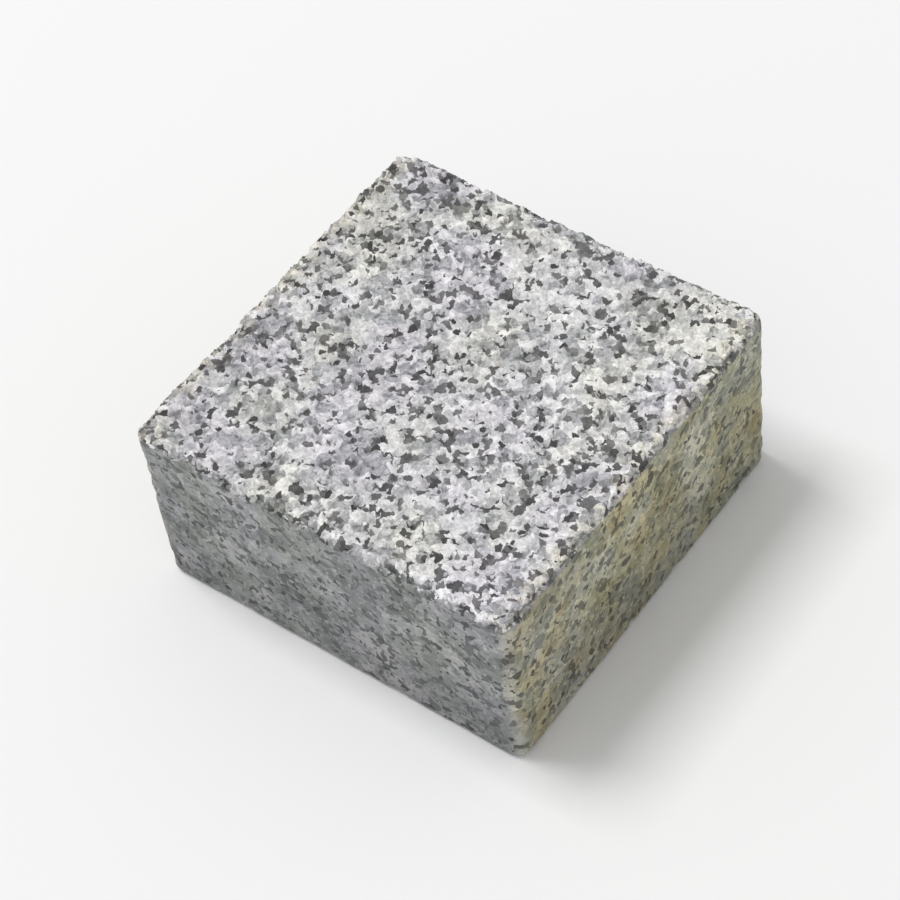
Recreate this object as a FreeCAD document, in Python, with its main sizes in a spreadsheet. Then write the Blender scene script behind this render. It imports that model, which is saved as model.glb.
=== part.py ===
import FreeCAD, Part
import Sketcher
import os

# Granite sett: one block of granite, sawn square, with a textured walking face
# and eased arrises. Millimetres. +Z is up, +X is the block's right side seen from
# its front face, and the origin is at the middle of the bed face it lies on.

# Driving dimensions: name, value in millimetres, what it measures
DIMENSIONS = (
    ("sett_length", 100.0, "side along X, joint face to joint face"),
    ("sett_width", 100.0, "side along Y, joint face to joint face"),
    ("sett_height", 50.0, "bed face to walking face"),
    ("corner_radius", 3.5, "rounding of the four upright corners"),
    ("top_arris_radius", 1.5, "worn rounding round the walking face"),
    ("bed_arris_radius", 1.5, "rounding round the bed face"),
)

SHEET_NAME = "Dimensions"
NODE_NAME = "granite_sett"
PARTS_FOLDER = "parts"
TOUCH_TOLERANCE = 1e-6


def make_sheet(doc):
    """Spreadsheet with one row for each driving dimension: name, value, meaning."""
    sheet = doc.addObject("Spreadsheet::Sheet", SHEET_NAME)
    for row, (alias, value, meaning) in enumerate(DIMENSIONS, start=1):
        sheet.set(f"A{row}", alias)
        sheet.set(f"B{row}", str(value))
        sheet.set(f"C{row}", meaning)
        sheet.setAlias(f"B{row}", alias)
    doc.recompute()
    return sheet


def origin_plane(body, role):
    """The body's own origin plane that has this role."""
    return next(p for p in body.Origin.OriginFeatures if p.Role == role)


def outline_sketch(doc, body):
    """Plan of the block on the bed plane: a rectangle with the origin at its middle."""
    sketch = body.newObject("Sketcher::SketchObject", "PlanOutline")
    sketch.AttachmentSupport = (origin_plane(body, "XY_Plane"), [""])
    sketch.MapMode = "FlatFace"
    half = 10.0  # any start size does, because the constraints set the real one
    corners = [(-half, -half), (half, -half), (half, half), (-half, half)]
    points = [FreeCAD.Vector(x, y, 0) for x, y in corners]
    for start, end in zip(points, points[1:] + points[:1]):
        sketch.addGeometry(Part.LineSegment(start, end), False)
    first_point, last_point = 1, 2
    origin_geometry = -1
    front, right, back, left = range(4)
    add = sketch.addConstraint
    for side in range(4):
        add(Sketcher.Constraint("Coincident", side, last_point, (side + 1) % 4, first_point))
    for side in (front, back):
        add(Sketcher.Constraint("Horizontal", side))
    for side in (right, left):
        add(Sketcher.Constraint("Vertical", side))
    add(Sketcher.Constraint("Symmetric", front, first_point, back, first_point, origin_geometry, first_point))
    length = add(Sketcher.Constraint("DistanceX", front, first_point, front, last_point, 2 * half))
    width = add(Sketcher.Constraint("DistanceY", right, first_point, right, last_point, 2 * half))
    sketch.setExpression(f"Constraints[{length}]", f"{SHEET_NAME}.sett_length")
    sketch.setExpression(f"Constraints[{width}]", f"{SHEET_NAME}.sett_width")
    doc.recompute()
    return sketch


def edges_between(shape, low, high):
    """Names of the edges whose box runs from height low to height high."""
    found = []
    for number, edge in enumerate(shape.Edges, start=1):
        box = edge.BoundBox
        if abs(box.ZMin - low) < TOUCH_TOLERANCE and abs(box.ZMax - high) < TOUCH_TOLERANCE:
            found.append(f"Edge{number}")
    return found


def round_edges(doc, body, base, name, low, high, radius_alias):
    """Fillet on the base feature's edges that run from height low to height high."""
    fillet = body.newObject("PartDesign::Fillet", name)
    fillet.Base = (base, edges_between(base.Shape, low, high))
    fillet.setExpression("Radius", f"{SHEET_NAME}.{radius_alias}")
    doc.recompute()
    return fillet


def make_sett(doc, sheet):
    """The block: a padded plan outline, then upright corners and both rims rounded."""
    body = doc.addObject("PartDesign::Body", "Sett")
    body.Label = NODE_NAME
    sketch = outline_sketch(doc, body)
    block = body.newObject("PartDesign::Pad", "SawnBlock")
    block.Profile = sketch
    block.setExpression("Length", f"{SHEET_NAME}.sett_height")
    doc.recompute()
    bed, top = 0.0, sheet.sett_height
    corners = round_edges(doc, body, block, "UprightCorners", bed, top, "corner_radius")
    rim = round_edges(doc, body, corners, "WalkingFaceArris", top, top, "top_arris_radius")
    round_edges(doc, body, rim, "BedFaceArris", bed, bed, "bed_arris_radius")
    return body


def check(doc, pieces):
    """Stops the build if an object failed or a piece isn't one valid solid."""
    failed = [o.Label for o in doc.Objects if "Invalid" in o.State or "Error" in o.State]
    if failed:
        raise RuntimeError(f"these objects failed to build: {failed}")
    for piece in pieces:
        shape = piece.Shape
        if shape.isNull() or not shape.isValid() or len(shape.Solids) != 1:
            raise RuntimeError(f"{piece.Label} isn't one valid solid")


def main():
    doc = FreeCAD.newDocument("GraniteSett")
    sheet = make_sheet(doc)
    pieces = [make_sett(doc, sheet)]
    doc.recompute()
    check(doc, pieces)
    os.makedirs(PARTS_FOLDER, exist_ok=True)
    for piece in pieces:
        piece.Shape.exportStep(os.path.join(PARTS_FOLDER, f"{piece.Label}.step"))
        box = piece.Shape.optimalBoundingBox(False)
        print(f"{piece.Label}: {box.XLength:.2f} x {box.YLength:.2f} x {box.ZLength:.2f} mm, "
              f"{piece.Shape.Volume / 1e3:.2f} cm3, {len(piece.Shape.Faces)} faces")


main()
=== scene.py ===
import math
from collections import namedtuple

import bpy
import numpy as np
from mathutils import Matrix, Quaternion, Vector


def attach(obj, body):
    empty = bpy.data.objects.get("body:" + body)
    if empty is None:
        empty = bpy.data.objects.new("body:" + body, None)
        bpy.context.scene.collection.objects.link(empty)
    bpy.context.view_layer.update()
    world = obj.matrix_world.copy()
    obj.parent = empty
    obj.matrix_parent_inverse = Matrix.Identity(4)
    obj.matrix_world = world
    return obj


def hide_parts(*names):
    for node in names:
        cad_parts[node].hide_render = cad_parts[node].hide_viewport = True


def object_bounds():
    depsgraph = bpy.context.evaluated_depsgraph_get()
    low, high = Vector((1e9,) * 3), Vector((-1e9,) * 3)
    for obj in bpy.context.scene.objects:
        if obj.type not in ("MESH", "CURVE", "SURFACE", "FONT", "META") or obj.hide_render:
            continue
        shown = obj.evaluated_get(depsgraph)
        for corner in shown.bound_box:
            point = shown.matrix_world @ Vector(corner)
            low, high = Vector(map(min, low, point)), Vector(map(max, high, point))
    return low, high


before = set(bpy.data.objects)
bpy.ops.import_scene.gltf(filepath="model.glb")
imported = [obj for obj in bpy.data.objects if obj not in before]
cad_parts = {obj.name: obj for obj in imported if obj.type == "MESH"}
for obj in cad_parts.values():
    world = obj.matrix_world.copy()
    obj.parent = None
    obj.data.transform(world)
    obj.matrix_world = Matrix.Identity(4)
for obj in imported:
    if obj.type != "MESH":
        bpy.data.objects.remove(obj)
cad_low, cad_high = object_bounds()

# A single granite sett: the CAD block gets its flamed walking face, broken arrises, sawn joint
# faces and speckled stone. Metres, or millimetres where a name ends in _MM or _mm.

MM = 0.001
NODE = "granite_sett"

# Form of the block, as the CAD solid has it
BOX_DECIMALS = 3                # decimals of a millimetre that the CAD box is read to
HALF_MM = round(cad_high[0] / MM, BOX_DECIMALS)
HEIGHT_MM = round(cad_high[2] / MM, BOX_DECIMALS)
CORNER_RADIUS_MM = 3.5
TOP_ARRIS_MM = 1.5
BED_ARRIS_MM = 1.5
SIDES = 4
QUARTER_TURN = math.pi / 2
EIGHTH_TURN = math.pi / 4

# Mesh density
FINE_STEPS = 208                # steps along one side of the walking face
COARSE_STEPS = FINE_STEPS // 2  # steps along one side lower down, where two fine ones meet one
FRAME_WIDTH_MM = 6.0            # band round a face that turns its square grid into a rounded outline
FRAME_RINGS = 11
ARRIS_RINGS = 5
FINE_WALL_MM = 4.0              # depth of the wall under the arris that keeps the fine spacing
FINE_WALL_RINGS = 8
COARSE_WALL_RINGS = 44
BED_ARRIS_RINGS = 3
BED_FRAME_RINGS = 5

# Texture map, whose sides are 1 long: where the unwrapped faces lie on it
TEXTURE_MAP = "OFBake"
Patch = namedtuple("Patch", "left bottom width")
TOP_PATCH = Patch(0.005, 0.005, 0.585)
BED_PATCH = Patch(0.005, 0.605, 0.385)
WALL_PATCHES = [Patch(0.602, bottom, 0.385) for bottom in (0.005, 0.205, 0.405, 0.605)]

# Values that the relief leaves on the mesh for the material
STONE_PLACE = "stone_place"     # place in the stone before the flame spalled the walking face, in metres
SPALL_DEPTH = "spall_depth"     # depth that the flame took off there, in millimetres


# Mesh of the block

# One ring of points round the block. Its unrolled place is how far inside the outline it lies once its
# arris is rolled out flat, so that the texture map keeps its scale there. Its patch is where the strip
# above it lies on the texture map, or None on the walls, where each side has its own.
Ring = namedtuple("Ring", "offset_mm height_mm steps unrolled_mm patch")
UPPER = 0
LOWER = 1


def block_rings():
    """Rings from the walking face's inner square, over the arris and down the walls, to the bed's."""
    rings = [Ring(FRAME_WIDTH_MM, HEIGHT_MM, FINE_STEPS, FRAME_WIDTH_MM, TOP_PATCH)]
    for k in range(1, FRAME_RINGS + 1):
        offset = FRAME_WIDTH_MM + (TOP_ARRIS_MM - FRAME_WIDTH_MM) * k / FRAME_RINGS
        rings.append(Ring(offset, HEIGHT_MM, FINE_STEPS, offset, TOP_PATCH))
    for k in range(1, ARRIS_RINGS + 1):
        turn = QUARTER_TURN * k / ARRIS_RINGS
        offset = TOP_ARRIS_MM * (1 - math.sin(turn))
        height = HEIGHT_MM - TOP_ARRIS_MM * (1 - math.cos(turn))
        rings.append(Ring(offset, height, FINE_STEPS, TOP_ARRIS_MM * (1 - turn), TOP_PATCH))
    wall_top = HEIGHT_MM - TOP_ARRIS_MM
    wall_middle = wall_top - FINE_WALL_MM
    bed_rim = BED_ARRIS_MM * (1 - QUARTER_TURN)
    for k in range(1, FINE_WALL_RINGS + 1):
        height = wall_top - FINE_WALL_MM * k / FINE_WALL_RINGS
        rings.append(Ring(0.0, height, FINE_STEPS, bed_rim, None))
    for k in range(1, COARSE_WALL_RINGS + 1):
        height = wall_middle + (BED_ARRIS_MM - wall_middle) * k / COARSE_WALL_RINGS
        rings.append(Ring(0.0, height, COARSE_STEPS, bed_rim, None))
    for k in range(1, BED_ARRIS_RINGS + 1):
        turn = QUARTER_TURN * k / BED_ARRIS_RINGS
        offset = BED_ARRIS_MM * (1 - math.cos(turn))
        height = BED_ARRIS_MM * (1 - math.sin(turn))
        rings.append(Ring(offset, height, COARSE_STEPS, bed_rim + BED_ARRIS_MM * turn, BED_PATCH))
    for k in range(1, BED_FRAME_RINGS + 1):
        offset = BED_ARRIS_MM + (FRAME_WIDTH_MM - BED_ARRIS_MM) * k / BED_FRAME_RINGS
        rings.append(Ring(offset, 0.0, COARSE_STEPS, offset, BED_PATCH))
    return rings


def outline(offset_mm, steps):
    """Points round the rounded square that lies offset_mm inside the joint faces, in millimetres.

    Each quarter runs from one corner's diagonal to the next in the same number of equal steps, so
    rings at different offsets pair up point by point.
    """
    half = HALF_MM - offset_mm
    radius = max(CORNER_RADIUS_MM - offset_mm, 0.0)
    middle = half - radius
    half_arc = radius * EIGHTH_TURN
    straight = 2 * middle
    along = np.arange(steps) / steps * (2 * half_arc + straight)
    on_first = along < half_arc
    on_last = along > half_arc + straight
    quarter = np.empty((steps, 2))
    quarter[:, 0] = along - half_arc - straight / 2
    quarter[:, 1] = -half
    if radius > 0:
        turn = EIGHTH_TURN - along[on_first] / radius
        quarter[on_first, 0] = -middle - radius * np.sin(turn)
        quarter[on_first, 1] = -middle - radius * np.cos(turn)
        turn = (along[on_last] - half_arc - straight) / radius
        quarter[on_last, 0] = middle + radius * np.sin(turn)
        quarter[on_last, 1] = -middle - radius * np.cos(turn)
    quarters = [quarter]
    for _ in range(SIDES - 1):
        last = quarters[-1]
        quarters.append(np.stack([-last[:, 1], last[:, 0]], axis=1))
    return np.concatenate(quarters)


class Skin:
    """Vertices, faces and texture places of the block while it is being put together."""

    def __init__(self):
        self.points = []
        self.count = 0
        self.faces = []
        self.places = []

    def add_points(self, points):
        """Adds vertices and returns their numbers."""
        numbers = np.arange(self.count, self.count + len(points))
        self.points.append(points)
        self.count += len(points)
        return numbers

    def add_faces(self, numbers, places):
        """Adds faces, one row of vertex numbers each, with the texture place of each corner."""
        self.faces.append(numbers)
        self.places.append(places)


def face_places(patch, flat):
    """Texture places of points on a horizontal face, given as unrolled plan points."""
    reach = HALF_MM + TOP_ARRIS_MM
    return np.array([patch.left, patch.bottom]) + (flat + reach) / (2 * reach) * patch.width


def wall_places(patch, share, height_mm):
    """Texture places on one joint face: share of the way along it, and height above the bed."""
    scale = patch.width / (2 * HALF_MM)
    upwards = np.full_like(share, patch.bottom + height_mm * scale)
    return np.stack([patch.left + share * patch.width, upwards], axis=-1)


def strip_places(pair, end, around, side):
    """Texture places of points of a strip's upper or lower ring, by their numbers round that ring."""
    ring = pair[end]
    patch = pair[LOWER].patch
    if patch is None:
        share = (around - side * ring.steps) / ring.steps
        return wall_places(WALL_PATCHES[side], share, ring.height_mm)
    return face_places(patch, outline(ring.unrolled_mm, ring.steps))[around % (SIDES * ring.steps)]


def strip(skin, pair, numbers):
    """Faces between two neighbouring rings. Where the lower one is coarser, two steps meet one."""
    upper, lower = pair
    for side in range(SIDES):
        near = np.arange(side * lower.steps, (side + 1) * lower.steps)
        if upper.steps == lower.steps:
            groups = [[(UPPER, near), (LOWER, near), (LOWER, near + 1), (UPPER, near + 1)]]
        else:
            between = 2 * near + 1
            groups = [
                [(UPPER, between - 1), (LOWER, near), (UPPER, between)],
                [(UPPER, between), (LOWER, near), (LOWER, near + 1)],
                [(UPPER, between), (LOWER, near + 1), (UPPER, between + 1)],
            ]
        for corners in groups:
            vertices = [numbers[end][around % len(numbers[end])] for end, around in corners]
            places = [strip_places(pair, end, around, side) for end, around in corners]
            skin.add_faces(np.stack(vertices, axis=1), np.stack(places, axis=1))


def square_grid(skin, ring, numbers, face_up):
    """Fills the square inside a ring with a grid, and uses the ring's own points at its border."""
    steps = ring.steps
    half = HALF_MM - FRAME_WIDTH_MM
    ticks = np.linspace(-half, half, steps + 1)
    front, right, back, left = numbers.reshape(SIDES, steps)
    border = np.arange(steps)
    grid = np.empty((steps + 1, steps + 1), dtype=int)
    grid[border, 0] = front
    grid[steps, border] = right
    grid[steps - border, steps] = back
    grid[0, steps - border] = left
    across, along = np.meshgrid(ticks[1:-1], ticks[1:-1], indexing="ij")
    inner = np.stack([across, along, np.full_like(across, ring.height_mm)], axis=-1).reshape(-1, 3)
    grid[1:-1, 1:-1] = skin.add_points(inner).reshape(steps - 1, steps - 1)
    flat = np.stack(np.meshgrid(ticks, ticks, indexing="ij"), axis=-1)
    first, second = slice(None, -1), slice(1, None)
    corners = [(first, first), (second, first), (second, second), (first, second)]
    if not face_up:
        corners = corners[::-1]
    quads = np.stack([grid[c].ravel() for c in corners], axis=1)
    places = np.stack([face_places(ring.patch, flat[c].reshape(-1, 2)) for c in corners], axis=1)
    skin.add_faces(quads, places)


def block_mesh():
    """The closed block with rounded corners and arrises, in metres, with its texture map."""
    skin = Skin()
    rings = block_rings()
    numbers = []
    for ring in rings:
        plan = outline(ring.offset_mm, ring.steps)
        numbers.append(skin.add_points(np.column_stack([plan, np.full(len(plan), ring.height_mm)])))
    square_grid(skin, rings[0], numbers[0], face_up=True)
    for k in range(len(rings) - 1):
        strip(skin, rings[k:k + 2], numbers[k:k + 2])
    square_grid(skin, rings[-1], numbers[-1], face_up=False)

    mesh = bpy.data.meshes.new("granite_block")
    points = np.concatenate(skin.points) * MM
    faces = [face for group in skin.faces for face in group.tolist()]
    mesh.from_pydata(points.tolist(), [], faces)
    texture_map = mesh.uv_layers.new(name=TEXTURE_MAP)
    texture_map.uv.foreach_set("vector", np.concatenate([p.reshape(-1) for p in skin.places]))
    mesh.validate()
    mesh.shade_smooth()
    return mesh


# Node helpers

# A cloud-like noise, and the line that a value is taken along: from its span to what it becomes there
Cloud = namedtuple("Cloud", "size_mm detail rough", defaults=(2.0, 0.5))
Ramp = namedtuple("Ramp", "span to smooth", defaults=((0.0, 1.0), True))
CLOUD_SPAN = (0.3, 0.7)         # holds nearly all the values of a noise
MIDDLE = (0.5, 0.5, 0.5)        # mean of a random colour

# Sockets of a Mix node that mixes colours
MIX_SHARE = 0
MIX_FIRST = 6
MIX_SECOND = 7
MIX_RESULT = 2


def linear(red, green, blue):
    """Shader colour for a colour written in the 0 to 255 steps of a picture, by the sRGB curve."""
    steps = [channel / 255 for channel in (red, green, blue)]
    levels = [s / 12.92 if s <= 0.04045 else ((s + 0.055) / 1.055) ** 2.4 for s in steps]
    return (*levels, 1.0)


def node(tree, kind, inputs=None, **settings):
    """A node of this kind; each input is a socket to link from or a value to set."""
    made = tree.nodes.new(kind)
    for name, value in settings.items():
        setattr(made, name, value)
    for name, value in (inputs or {}).items():
        socket = made.inputs[name]
        if isinstance(value, bpy.types.NodeSocket):
            tree.links.new(value, socket)
        else:
            socket.default_value = value
    return made


def math_node(tree, operation, first, second=0.0):
    """Result of one arithmetic step."""
    return node(tree, "ShaderNodeMath", {0: first, 1: second}, operation=operation).outputs[0]


def vector_node(tree, operation, first, second=None, scale=None):
    """Vector result of one vector step."""
    inputs = {0: first}
    if second is not None:
        inputs[1] = second
    if scale is not None:
        inputs["Scale"] = scale
    return node(tree, "ShaderNodeVectorMath", inputs, operation=operation).outputs["Vector"]


def ramp(tree, value, line):
    """Value taken along a line, eased or straight, and held past its ends."""
    inputs = {
        "Value": value,
        "From Min": line.span[0],
        "From Max": line.span[1],
        "To Min": line.to[0],
        "To Max": line.to[1],
    }
    kind = "SMOOTHSTEP" if line.smooth else "LINEAR"
    made = node(tree, "ShaderNodeMapRange", inputs, interpolation_type=kind, clamp=True)
    return made.outputs["Result"]


def weighted(tree, weights, fields, **more):
    """Sum of the fields that the weights name, each times its weight."""
    values = {**fields, **more}
    total = None
    for name, weight in weights.items():
        share = math_node(tree, "MULTIPLY", values[name], weight)
        total = share if total is None else math_node(tree, "ADD", total, share)
    return total


def noise(tree, place_mm, cloud, output="Fac"):
    """Cloud-like field whose lumps are about the cloud's size across."""
    inputs = {
        "Vector": place_mm,
        "Scale": 1 / cloud.size_mm,
        "Detail": cloud.detail,
        "Roughness": cloud.rough,
    }
    return node(tree, "ShaderNodeTexNoise", inputs, noise_dimensions="3D").outputs[output]


def cells(tree, place_mm, size_mm):
    """Field of grains about size_mm across, with each grain's random colour, place and distance."""
    inputs = {"Vector": place_mm, "Scale": 1 / size_mm}
    return node(tree, "ShaderNodeTexVoronoi", inputs, voronoi_dimensions="3D").outputs


def split(tree, vector):
    """The three parts of a vector or colour."""
    return node(tree, "ShaderNodeSeparateXYZ", {0: vector}).outputs


def facet_height(tree, place_mm, found):
    """Height on each grain's own slanted face, above the grain's middle: every grain leans its own way."""
    lean = vector_node(tree, "SUBTRACT", found["Color"], MIDDLE)
    out = vector_node(tree, "SUBTRACT", place_mm, found["Position"])
    made = node(tree, "ShaderNodeVectorMath", {0: out, 1: lean}, operation="DOT_PRODUCT")
    return made.outputs["Value"]


def mix_colours(tree, share, first, second, blend="MIX"):
    """Blend of two colours, each a socket or a colour in the 0 to 255 steps of a picture."""
    inputs = {MIX_SHARE: share}
    for socket, colour in ((MIX_FIRST, first), (MIX_SECOND, second)):
        inputs[socket] = colour if isinstance(colour, bpy.types.NodeSocket) else linear(*colour)
    settings = {"data_type": "RGBA", "blend_type": blend, "clamp_result": True}
    return node(tree, "ShaderNodeMix", inputs, **settings).outputs[MIX_RESULT]


def tinted(tree, colour, *tints):
    """The colour multiplied by each tint in turn, where a tint is a colour or a grey level."""
    for tint in tints:
        colour = mix_colours(tree, 1.0, colour, tint, "MULTIPLY")
    return colour


def colour_ramp(tree, value, stops):
    """Colour that runs through the stops, each a position and a colour in 0 to 255 steps."""
    made = node(tree, "ShaderNodeValToRGB", {0: value})
    elements = made.color_ramp.elements
    while len(elements) < len(stops):
        elements.new(1.0)
    for element, (position, colour) in zip(elements, stops):
        element.position = position
        element.color = linear(*colour)
    return made.outputs[0]


# Stone fields, the same in the relief and in the material

# Grains: the waves that bend their outlines, with the reach of the bend in millimetres, and their sizes
BENDS = ((Cloud(2.2, detail=1.0), 1.6), (Cloud(0.55, detail=2.5), 0.65))
GRAIN_MM = 2.6
CRUMB_MM = 0.85
FLECK_MM = 1.5
FLAKE_MM = 3.6

# Dark minerals: swarms of flecks, the share of the flecks that is dark in them, and the dark's edge
SWARM = Cloud(3.9)
DARK_SHARE = Ramp((0.36, 0.66), (0.07, 0.46))
DARK_EDGE = Ramp((0.0, 0.03))

# Broken facets along an edge: the least depth, and what a flake and a fleck of stone add at the most
Cut = namedtuple("Cut", "least_mm flake_mm fleck_mm")
ARRIS_CUT = Cut(0.35, 1.5, 0.7)
BED_CUT = Cut(0.3, 1.0, 0.4)
FLAKE_POWER = 3.0               # the higher the power, the rarer the big facets
FLECK_POWER = 2.0


def edge_cut(tree, gaps, flake, fleck, cut):
    """How deep a broken facet cuts below the two faces of an edge, in millimetres.

    The gaps are the distances to the two faces. Each flake and each fleck of stone along the edge has
    its own facet at 45 degrees to the faces, and most of the facets are small.
    """
    big = math_node(tree, "MULTIPLY", math_node(tree, "POWER", flake, FLAKE_POWER), cut.flake_mm)
    small = math_node(tree, "MULTIPLY", math_node(tree, "POWER", fleck, FLECK_POWER), cut.fleck_mm)
    facet = math_node(tree, "ADD", math_node(tree, "ADD", big, small), cut.least_mm)
    gap = math_node(tree, "MULTIPLY", math_node(tree, "ADD", *gaps), math.sqrt(0.5))
    short = math_node(tree, "MAXIMUM", math_node(tree, "SUBTRACT", facet, gap), 0.0)
    return math_node(tree, "MULTIPLY", short, math.sqrt(2.0))


def stone_fields(tree, place):
    """Grains, dark minerals, distances and chips at a place in metres, as sockets of this tree."""
    place_mm = vector_node(tree, "SCALE", place, scale=1 / MM)
    bent_mm = place_mm
    for wave, reach_mm in BENDS:
        bend = vector_node(tree, "SUBTRACT", noise(tree, place_mm, wave, output="Color"), MIDDLE)
        bent_mm = vector_node(tree, "ADD", bent_mm, vector_node(tree, "SCALE", bend, scale=reach_mm))

    grains = cells(tree, bent_mm, GRAIN_MM)
    crumbs = cells(tree, bent_mm, CRUMB_MM)
    grain, grain_other, _ = split(tree, grains["Color"])
    crumb, crumb_other, _ = split(tree, crumbs["Color"])
    fleck, fleck_tone, fleck_low = split(tree, cells(tree, bent_mm, FLECK_MM)["Color"])
    flake, _, flake_low = split(tree, cells(tree, bent_mm, FLAKE_MM)["Color"])
    dark_share = ramp(tree, noise(tree, place_mm, SWARM), DARK_SHARE)

    x, y, z = split(tree, place_mm)
    inset_x = math_node(tree, "SUBTRACT", HALF_MM, math_node(tree, "ABSOLUTE", x))
    inset_y = math_node(tree, "SUBTRACT", HALF_MM, math_node(tree, "ABSOLUTE", y))
    inset = math_node(tree, "MINIMUM", inset_x, inset_y)
    drop = math_node(tree, "SUBTRACT", HEIGHT_MM, z)
    arris_chip = edge_cut(tree, (inset, drop), flake, fleck, ARRIS_CUT)
    bed_chip = edge_cut(tree, (inset, z), flake_low, fleck_low, BED_CUT)
    return {
        "place_mm": place_mm,
        "bent_mm": bent_mm,
        "x": x,
        "z": z,
        "inset_x": inset_x,
        "inset": inset,
        "corner_gap": math_node(tree, "MAXIMUM", inset_x, inset_y),
        "drop": drop,
        "grain": grain,
        "grain_other": grain_other,
        "grain_mm": grains["Position"],
        "grain_facet": facet_height(tree, bent_mm, grains),
        "crumb": crumb,
        "crumb_other": crumb_other,
        "crumb_edge": crumbs["Distance"],
        "crumb_facet": facet_height(tree, bent_mm, crumbs),
        "fleck_tone": fleck_tone,
        "dark": ramp(tree, math_node(tree, "SUBTRACT", dark_share, fleck), DARK_EDGE),
        "chip": math_node(tree, "MAXIMUM", arris_chip, bed_chip),
    }


# Relief: what is taken off the block, in millimetres

# The flame's spalling: its forms, how much of each there is, and what is left of it down the walls
SWELL = Cloud(15.0, detail=1.0)
SWELL_MM = Ramp((0.25, 0.75), (0.0, 0.5), smooth=False)
LUMPS = Cloud(2.8, rough=0.55)
LUMPS_MM = Ramp(CLOUD_SPAN, (0.0, 0.80), smooth=False)
SPALL_MIX = {
    "swell": 1.0,
    "lumps": 1.0,
    "grain": 0.25,
    "crumb": 0.20,
    "dark": 0.20,
    "grain_facet": 0.55,
    "crumb_facet": 0.50,
}
SPALL_LEFT = Ramp((0.8, 5.0), (1.0, 0.0))

# The saw's waviness, and the wear of the upright corners, which fades away from them
SAW_WAVES = Cloud(9.0)
SAW_WAVES_MM = Ramp(CLOUD_SPAN, (0.0, 0.14), smooth=False)
WEAR = Cloud(6.0)
WEAR_MM = Ramp((0.45, 0.72), (0.0, 0.8))
WEAR_LEFT = Ramp((0.8, 4.5), (1.0, 0.0))


def relief_tree():
    """Node group that carves the stone's relief into a mesh: always inwards, so it stays in its box."""
    tree = bpy.data.node_groups.new("stone_relief", "GeometryNodeTree")
    tree.interface.new_socket("Geometry", in_out="INPUT", socket_type="NodeSocketGeometry")
    tree.interface.new_socket("Geometry", in_out="OUTPUT", socket_type="NodeSocketGeometry")
    start = node(tree, "NodeGroupInput")
    end = node(tree, "NodeGroupOutput")
    place = node(tree, "GeometryNodeInputPosition").outputs[0]
    normal = node(tree, "GeometryNodeInputNormal").outputs[0]
    fields = stone_fields(tree, place)
    place_mm = fields["place_mm"]

    swell = ramp(tree, noise(tree, place_mm, SWELL), SWELL_MM)
    lumps = ramp(tree, noise(tree, place_mm, LUMPS), LUMPS_MM)
    rough = weighted(tree, SPALL_MIX, fields, swell=swell, lumps=lumps)
    rough = math_node(tree, "MAXIMUM", rough, 0.0)
    spall = math_node(tree, "MULTIPLY", rough, ramp(tree, fields["drop"], SPALL_LEFT))
    sink = node(tree, "ShaderNodeCombineXYZ", {"Z": math_node(tree, "MULTIPLY", spall, -MM)})

    sawn = ramp(tree, noise(tree, place_mm, SAW_WAVES), SAW_WAVES_MM)
    worn = ramp(tree, noise(tree, place_mm, WEAR), WEAR_MM)
    worn = math_node(tree, "MULTIPLY", worn, ramp(tree, fields["corner_gap"], WEAR_LEFT))
    loss = math_node(tree, "ADD", math_node(tree, "ADD", sawn, fields["chip"]), worn)
    depth = math_node(tree, "MULTIPLY", loss, -MM)
    broken = vector_node(tree, "ADD", place, vector_node(tree, "SCALE", normal, scale=depth))

    shape = start.outputs[0]
    for name, kind, value in ((STONE_PLACE, "FLOAT_VECTOR", broken), (SPALL_DEPTH, "FLOAT", spall)):
        inputs = {"Geometry": shape, "Name": name, "Value": value}
        keep = node(tree, "GeometryNodeStoreNamedAttribute", inputs, data_type=kind, domain="POINT")
        shape = keep.outputs[0]
    inputs = {"Geometry": shape, "Position": vector_node(tree, "ADD", broken, sink.outputs[0])}
    moved = node(tree, "GeometryNodeSetPosition", inputs)
    tree.links.new(moved.outputs[0], end.inputs[0])
    return tree


def add_relief(block):
    """Carves the relief into the block's mesh, and leaves no modifier behind."""
    carve = block.modifiers.new("relief", "NODES")
    carve.node_group = relief_tree()
    evaluated = block.evaluated_get(bpy.context.evaluated_depsgraph_get())
    carved = bpy.data.meshes.new_from_object(evaluated)
    block.modifiers.remove(carve)
    bare = block.data
    block.data = carved
    bpy.data.meshes.remove(bare)


# Material: its colours are written in the 0 to 255 steps of a picture

FINE_GRAIN = Cloud(0.65, detail=3.0, rough=0.7)

# Walking face: its minerals, then the tints over them. The right side is a little paler than the left.
MINERAL_CLOUD = Cloud(1.5)
MINERAL_SHARE = Ramp(CLOUD_SPAN, smooth=False)
FELDSPAR_MIX = {"crumb": 0.45, "grain_other": 0.30, "cloud": 0.25}
FELDSPAR = (
    (0.15, (191, 191, 193)),
    (0.40, (221, 220, 221)),
    (0.65, (244, 243, 242)),
    (0.90, (255, 254, 251)),
)
QUARTZ_MIX = {"crumb": 0.60, "cloud": 0.40}
QUARTZ = (
    (0.15, (148, 150, 153)),
    (0.50, (182, 183, 185)),
    (0.85, (210, 210, 211)),
)
QUARTZ_SHARE = Ramp((0.30, 0.36), (1.0, 0.0))
FLAMED_MICA = ((68, 68, 70), (146, 145, 144))
FLAMED_DUST = Ramp(CLOUD_SPAN, (0.80, 1.18), smooth=False)
PIT_SHADE = Ramp((0.35, 1.60), (1.06, 0.72))
WASH_CLOUD = Cloud(24.0, detail=1.0)
WASH = (
    (0.36, (255, 255, 249)),
    (0.48, (254, 254, 254)),
    (0.60, (252, 250, 255)),
)
SIDE_TONE = Ramp((-HALF_MM, HALF_MM), (0.94, 1.06), smooth=False)
BRUISE = Ramp((0.5, 3.5), (1.14, 1.0))
RIM_MIX = {"inset_x": 1.0, "grain_other": 6.0}
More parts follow.
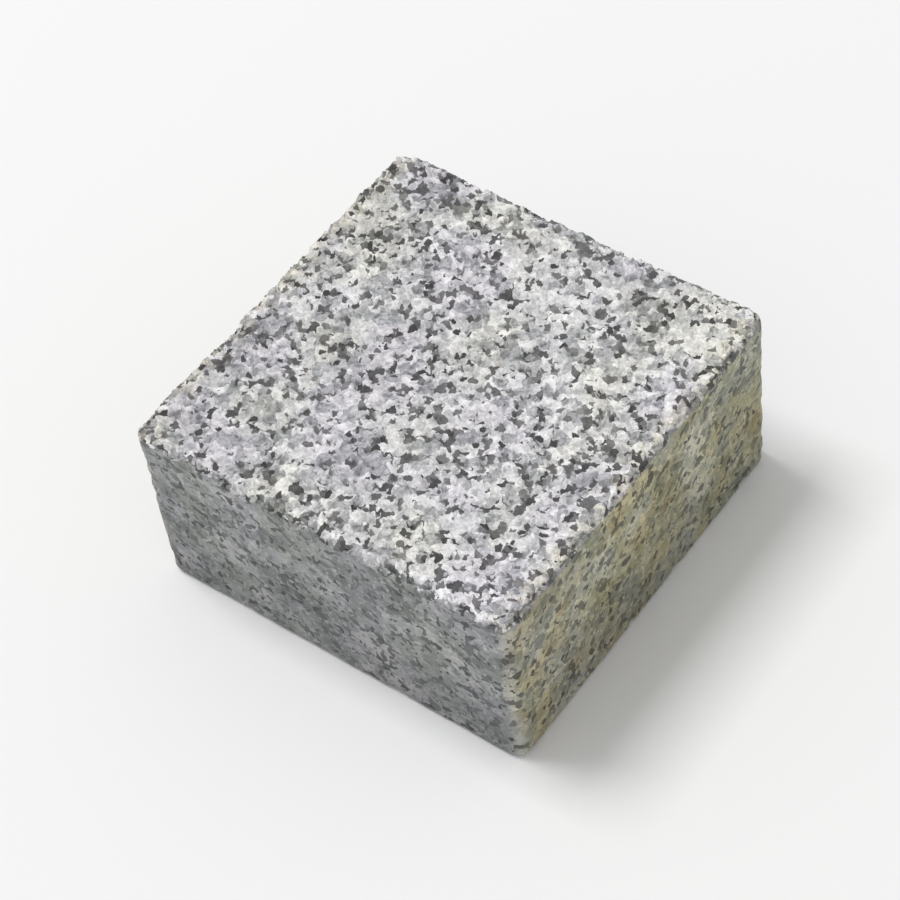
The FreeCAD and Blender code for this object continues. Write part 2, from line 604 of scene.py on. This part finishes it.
RIM_SHARE = Ramp((2.0, 9.0), (0.8, 0.0))
RIM_TINT = (255, 250, 232)

# Joint faces and bed: the ground grains, then the tints over them. Painted shade darkens them towards the
# bed.
SAWN_CLOUD = Cloud(9.0)
SAWN_CLOUD_SHARE = Ramp((0.34, 0.66), smooth=False)
FELDSPAR_SHARE = Ramp((0.34, 0.40))
SAWN_MIX = {"cloud": 0.50, "feldspar": 0.20, "grain_other": 0.10, "crumb": 0.20}
SAWN = (
    (0.10, (113, 116, 116)),
    (0.38, (141, 143, 143)),
    (0.62, (158, 159, 160)),
    (0.90, (190, 190, 188)),
)
CHALK_SHARE = Ramp((0.90, 0.92), (0.0, 0.45))
CHALK = (196, 195, 191)
PEPPER_SHARE = Ramp((0.06, 0.08), (0.55, 0.0))
PEPPER = (76, 78, 80)
HUE_CLOUD = Cloud(18.0, detail=1.0)
HUE = (
    (0.38, (253, 255, 249)),
    (0.50, (253, 254, 254)),
    (0.62, (253, 252, 255)),
)
SAWN_MICA = ((54, 56, 58), (120, 122, 123))
SAWN_MICA_SHARE = 0.90
STREAK_SCALE = (0.22, 0.22, 1.5)
STREAK_CLOUD = Cloud(1.0, detail=3.0, rough=0.6)
STREAK = Ramp((0.35, 0.65), (0.95, 1.03), smooth=False)
SAWN_DUST = Ramp(CLOUD_SPAN, (0.86, 1.12), smooth=False)
# painted shade: darker towards the bed and paler up the wall, with a ragged border
PAINTED_BED_SHADE_MIX = {"z": 1.0, "mottle": -9.0}
PAINTED_BED_SHADE = Ramp((-6.0, 28.0), (0.75, 1.13), smooth=False)

# Stain on the left and right faces, and painted light that brightens them where stained
STAIN_CLOUD = Cloud(12.0, detail=3.0, rough=0.55)
STAIN_MIX = {"cloud": 0.92, "grain_other": 0.08}
STAIN_BELOW = Ramp((0.8, 3.0))
STAIN_SIDE = Ramp((0.3, 3.4), (1.0, 0.0))
STAIN_SHARE = Ramp((0.30, 0.62), (0.85, 1.0))
# painted light: stained faces are brightened so that the right face, which the lamp does not reach, comes
# out as bright as the front
PAINTED_LIGHT_ON_STAIN = Ramp((0.0, 1.0), (1.0, 1.22), smooth=False)
STAIN = (
    (0.34, (254, 251, 230)),
    (0.46, (254, 248, 216)),
    (0.56, (252, 241, 197)),
    (0.68, (242, 218, 174)),
)

# Border of the flamed face on the walls, fresh stone in the chips, and a pale band down the upright
# corners that is partly worn stone and partly a painted highlight
RAGGED = Cloud(2.4, rough=0.6)
RAGGED_REACH_MM = Ramp((0.36, 0.66), (0.0, 1.7))
FLAMED_EDGE = Ramp((-0.5, 0.0))
FRESH_CHIP = Ramp((0.05, 0.5), (0.0, 0.45))
# pale band down the upright corners: partly wear, partly a painted highlight
CORNER_WEAR_AND_HIGHLIGHT = Ramp((1.0, 4.5), (0.4, 0.0))
# pale stone of the chips, also used for the painted highlight on the upright corners, and its dark mica
FRESH_AND_HIGHLIGHT = ((226, 224, 219), (92, 92, 93))

# Gloss and bump
DULLNESS = Ramp(CLOUD_SPAN, (0.70, 0.90), smooth=False)
GLASSY = Ramp((0.34, 0.40), (1.0, 0.0))
ROUGHNESS_MIX = {"dullness": 1.0, "glassy": -0.14, "dark": -0.12}
SPECULAR = 0.35
BUMP_MIX = {"fine": 1.0, "crumb_edge": 0.6, "crumb_other": 0.5, "crumb_facet": 4.0}
BUMP_SHARE = Ramp((0.0, 1.0), (0.25, 1.0))
BUMP_STRENGTH = 0.9
BUMP_DISTANCE_MM = 0.10


def stored(tree, name, output):
    """Value that the relief left on the mesh."""
    made = node(tree, "ShaderNodeAttribute", attribute_type="GEOMETRY", attribute_name=name)
    return made.outputs[output]


def flamed_colour(tree, fields, fine):
    """Walking face: chalky feldspar, grey quartz and dark mica, darker in the pits, paler at its rim."""
    cloud = ramp(tree, noise(tree, fields["bent_mm"], MINERAL_CLOUD), MINERAL_SHARE)
    feldspar = colour_ramp(tree, weighted(tree, FELDSPAR_MIX, fields, cloud=cloud), FELDSPAR)
    quartz = colour_ramp(tree, weighted(tree, QUARTZ_MIX, fields, cloud=cloud), QUARTZ)
    pale = mix_colours(tree, ramp(tree, fields["grain"], QUARTZ_SHARE), feldspar, quartz)
    mica = mix_colours(tree, fields["fleck_tone"], *FLAMED_MICA)
    colour = mix_colours(tree, fields["dark"], pale, mica)
    dust = ramp(tree, fine, FLAMED_DUST)
    pits = ramp(tree, stored(tree, SPALL_DEPTH, "Fac"), PIT_SHADE)
    wash = colour_ramp(tree, noise(tree, fields["grain_mm"], WASH_CLOUD), WASH)
    tone = ramp(tree, fields["x"], SIDE_TONE)
    bruise = ramp(tree, fields["inset"], BRUISE)
    colour = tinted(tree, colour, dust, pits, wash, tone, bruise)
    rim = ramp(tree, weighted(tree, RIM_MIX, fields), RIM_SHARE)
    return mix_colours(tree, rim, colour, RIM_TINT, "MULTIPLY")


def sawn_colour(tree, fields, fine):
    """Joint faces and bed: the same grains, ground flat and greyer, with streaks left by the saw."""
    place_mm = fields["place_mm"]
    cloud = ramp(tree, noise(tree, fields["grain_mm"], SAWN_CLOUD), SAWN_CLOUD_SHARE)
    feldspar = ramp(tree, fields["grain"], FELDSPAR_SHARE)
    mottle = weighted(tree, SAWN_MIX, fields, cloud=cloud, feldspar=feldspar)
    colour = colour_ramp(tree, mottle, SAWN)
    colour = mix_colours(tree, ramp(tree, fields["crumb_other"], CHALK_SHARE), colour, CHALK)
    colour = mix_colours(tree, ramp(tree, fields["crumb_other"], PEPPER_SHARE), colour, PEPPER)
    hue = colour_ramp(tree, noise(tree, place_mm, HUE_CLOUD), HUE)
    colour = tinted(tree, colour, hue)
    mica = mix_colours(tree, fields["fleck_tone"], *SAWN_MICA)
    mica_share = math_node(tree, "MULTIPLY", fields["dark"], SAWN_MICA_SHARE)
    colour = mix_colours(tree, mica_share, colour, mica)
    stretched = vector_node(tree, "MULTIPLY", place_mm, STREAK_SCALE)
    streak = ramp(tree, noise(tree, stretched, STREAK_CLOUD), STREAK)
    dust = ramp(tree, fine, SAWN_DUST)
    # painted shade, darker towards the bed
    painted_bed_shade = ramp(tree, weighted(tree, PAINTED_BED_SHADE_MIX, fields, mottle=mottle), PAINTED_BED_SHADE)
    return tinted(tree, colour, streak, dust, painted_bed_shade)


def stained_colour(tree, fields, sawn):
    """The sawn colour with tan and olive stains on the left and right faces, brightened there by painted
    light.
    """
    cloud = noise(tree, fields["grain_mm"], STAIN_CLOUD)
    patch = weighted(tree, STAIN_MIX, fields, cloud=cloud)
    below = ramp(tree, fields["drop"], STAIN_BELOW)
    side = math_node(tree, "MULTIPLY", ramp(tree, fields["inset_x"], STAIN_SIDE), below)
    share = math_node(tree, "MULTIPLY", side, ramp(tree, patch, STAIN_SHARE))
    stain = tinted(tree, sawn, colour_ramp(tree, patch, STAIN))
    # the last tint is painted light, brightening the stained faces
    return tinted(tree, mix_colours(tree, share, sawn, stain), ramp(tree, share, PAINTED_LIGHT_ON_STAIN))


def granite_material():
    """Speckled grey granite: pale and rough where flamed, smoother and greyer where sawn."""
    material = bpy.data.materials.new("granite")
    material.use_nodes = True
    tree = material.node_tree
    shader = tree.nodes["Principled BSDF"]
    fields = stone_fields(tree, stored(tree, STONE_PLACE, "Vector"))
    fine = noise(tree, fields["place_mm"], FINE_GRAIN)
    flamed = flamed_colour(tree, fields, fine)
    stained = stained_colour(tree, fields, sawn_colour(tree, fields, fine))

    reach = ramp(tree, noise(tree, fields["place_mm"], RAGGED), RAGGED_REACH_MM)
    is_flamed = ramp(tree, math_node(tree, "SUBTRACT", reach, fields["drop"]), FLAMED_EDGE)
    colour = mix_colours(tree, is_flamed, stained, flamed)
    # the corner band is partly worn stone, partly a painted highlight; the chips are fresh stone
    corner = ramp(tree, math_node(tree, "ADD", fields["corner_gap"], reach), CORNER_WEAR_AND_HIGHLIGHT)
    fresh_and_highlight_share = math_node(tree, "MAXIMUM", ramp(tree, fields["chip"], FRESH_CHIP), corner)
    fresh_and_highlight = mix_colours(tree, fields["dark"], *FRESH_AND_HIGHLIGHT)
    colour = mix_colours(tree, fresh_and_highlight_share, colour, fresh_and_highlight)
    tree.links.new(colour, shader.inputs["Base Color"])

    dullness = ramp(tree, fine, DULLNESS)
    glassy = ramp(tree, fields["grain"], GLASSY)
    roughness = weighted(tree, ROUGHNESS_MIX, fields, dullness=dullness, glassy=glassy)
    tree.links.new(roughness, shader.inputs["Roughness"])
    shader.inputs["Specular IOR Level"].default_value = SPECULAR

    height = weighted(tree, BUMP_MIX, fields, fine=fine)
    height = math_node(tree, "MULTIPLY", height, ramp(tree, is_flamed, BUMP_SHARE))
    inputs = {"Height": height, "Strength": BUMP_STRENGTH, "Distance": BUMP_DISTANCE_MM * MM}
    bump = node(tree, "ShaderNodeBump", inputs)
    tree.links.new(bump.outputs[0], shader.inputs["Normal"])
    return material


# The sett

def add_object(name, data):
    """A new object of the scene that shows this data."""
    made = bpy.data.objects.new(name, data)
    bpy.context.scene.collection.objects.link(made)
    return made


block = add_object("sett_stone", block_mesh())
add_relief(block)
block.data.materials.clear()
block.data.materials.append(granite_material())
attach(block, "root")
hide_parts(NODE)


# Floor, light and camera

PAPER = linear(246, 246, 246)
WHITE = linear(255, 255, 255)
FLOOR_REACH = 6.0
FLOOR_ROUGHNESS = 0.95
SKY_STRENGTH = 0.545
PAPER_STRENGTH = 1.0
LAMP_PLACE = Vector((-1.86, -0.25, 4.08))
LAMP_TARGET = Vector((0.0, 0.0, 0.03))
LAMP_SIZE = 1.65
LAMP_POWER = 105.0
CAMERA_TARGET = Vector((-0.0006, -0.0030, HEIGHT_MM * MM / 2))
CAMERA_AZIMUTH = math.radians(42.68)
CAMERA_ELEVATION = math.radians(51.32)
CAMERA_ROLL = math.radians(8.79)
CAMERA_DISTANCE = 0.6264
CAMERA_LENS = 111.7
CLIP_START = 0.01
CLIP_END = 50.0


def add_floor():
    """Pale studio floor that keeps the block's shadow."""
    mesh = bpy.data.meshes.new("studio_floor")
    reach = FLOOR_REACH
    corners = [(-reach, -reach, 0), (reach, -reach, 0), (reach, reach, 0), (-reach, reach, 0)]
    mesh.from_pydata(corners, [], [(0, 1, 2, 3)])
    floor = add_object("studio_floor", mesh)
    material = bpy.data.materials.new("studio_paper")
    material.use_nodes = True
    shader = material.node_tree.nodes["Principled BSDF"]
    shader.inputs["Base Color"].default_value = PAPER
    shader.inputs["Roughness"].default_value = FLOOR_ROUGHNESS
    shader.inputs["Specular IOR Level"].default_value = 0.0
    mesh.materials.append(material)


def add_world():
    """Even soft light from all round, seen as pale paper behind the block."""
    world = bpy.data.worlds.new("studio_light")
    bpy.context.scene.world = world
    world.use_nodes = True
    tree = world.node_tree
    light = tree.nodes["Background"]
    light.inputs["Color"].default_value = WHITE
    light.inputs["Strength"].default_value = SKY_STRENGTH
    paper = node(tree, "ShaderNodeBackground", {"Color": PAPER, "Strength": PAPER_STRENGTH})
    path = node(tree, "ShaderNodeLightPath")
    seen = math_node(tree, "MAXIMUM", path.outputs["Is Camera Ray"], path.outputs["Is Glossy Ray"])
    seen = math_node(tree, "MAXIMUM", seen, path.outputs["Is Transmission Ray"])
    both = node(tree, "ShaderNodeMixShader", {0: seen, 1: light.outputs[0], 2: paper.outputs[0]})
    tree.links.new(both.outputs[0], tree.nodes["World Output"].inputs["Surface"])


def looking(direction):
    """Turn that points a lamp or a camera along a direction."""
    return direction.to_track_quat("-Z", "Y")


def add_lamp():
    """Square soft light overhead, to the left of the block."""
    lamp = bpy.data.lights.new("overhead_softbox", "AREA")
    lamp.size = LAMP_SIZE
    lamp.energy = LAMP_POWER
    holder = add_object("overhead_softbox", lamp)
    holder.location = LAMP_PLACE
    holder.rotation_mode = "QUATERNION"
    holder.rotation_quaternion = looking(LAMP_TARGET - LAMP_PLACE)


def add_camera():
    """Camera where the photo's camera stood against this sett, turned to face it."""
    back = Vector((math.sin(CAMERA_AZIMUTH) * math.cos(CAMERA_ELEVATION),
                   -math.cos(CAMERA_AZIMUTH) * math.cos(CAMERA_ELEVATION),
                   math.sin(CAMERA_ELEVATION)))
    lens = bpy.data.cameras.new("camera")
    lens.lens = CAMERA_LENS
    lens.clip_start = CLIP_START
    lens.clip_end = CLIP_END
    camera = add_object("camera", lens)
    camera.location = CAMERA_TARGET + back * CAMERA_DISTANCE
    camera.rotation_mode = "QUATERNION"
    camera.rotation_quaternion = looking(-back) @ Quaternion((0.0, 0.0, 1.0), -CAMERA_ROLL)
    bpy.context.scene.camera = camera


add_floor()
add_world()
add_lamp()
add_camera()
bpy.context.scene.view_settings.view_transform = "Standard"
